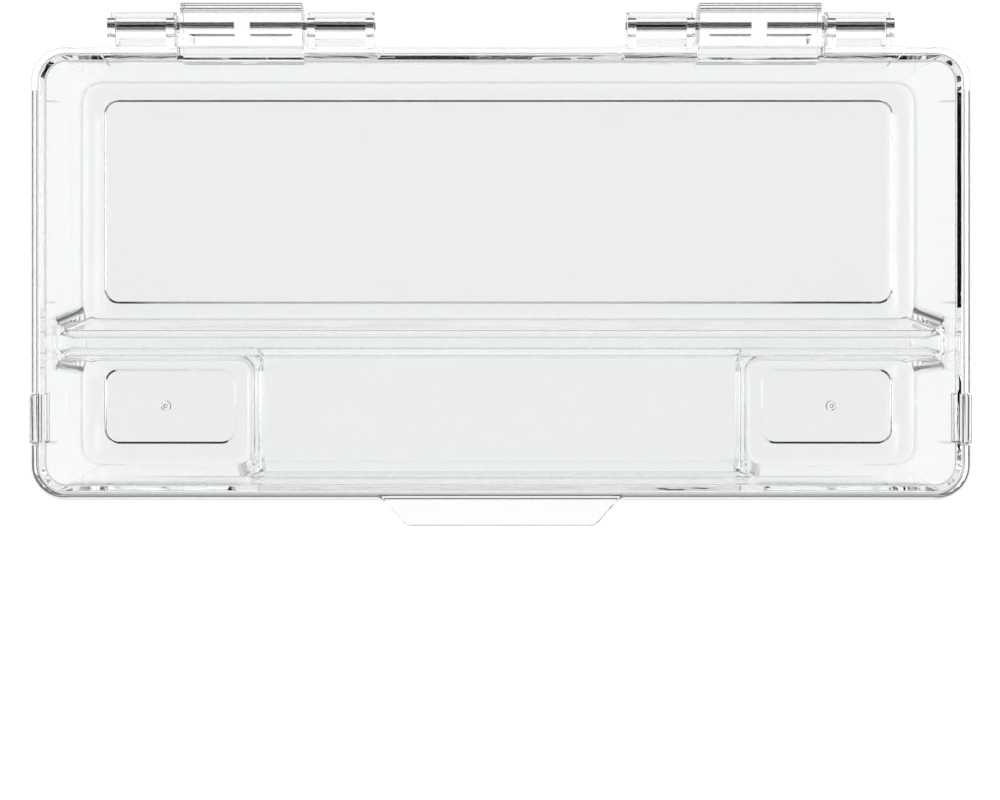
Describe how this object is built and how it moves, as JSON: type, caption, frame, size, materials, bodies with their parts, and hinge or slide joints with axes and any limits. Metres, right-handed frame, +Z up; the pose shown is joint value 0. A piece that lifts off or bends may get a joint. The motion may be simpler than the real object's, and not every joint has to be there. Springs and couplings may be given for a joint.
{
  "type": "toothbrush storage box",
  "caption": "Clear plastic box for toothbrushes: tray with a long rear well, raised middle shelf and front pockets, under a flat hinged lid with a thumb tab.",
  "frame": {"origin": "middle of the closed outline, tab and hinges included, on the surface that the box stands on", "axes": "+Z up; +Y towards the hinges at the back; +X to the right when the thumb tab faces the user"},
  "size_m": [0.236, 0.1314, 0.041],
  "materials": {
    "clear_plastic": "clear, polished",
    "pin_steel": "bright drawn wire"
  },
  "bodies": {
    "base": {"base_tray": "clear_plastic", "hinge_pin_1": "pin_steel", "hinge_pin_2": "pin_steel", "hinge_pin_3": "pin_steel", "hinge_pin_4": "pin_steel"},
    "lid": {"lid": "clear_plastic"}
  },
  "joints": [
    {"name": "lid_hinge", "type": "hinge", "parent": "base", "child": "lid", "pos_m": [0, 0.06015, 0.036], "axis": [-1, 0, 0], "range_deg": [0, 105]}
  ]
}
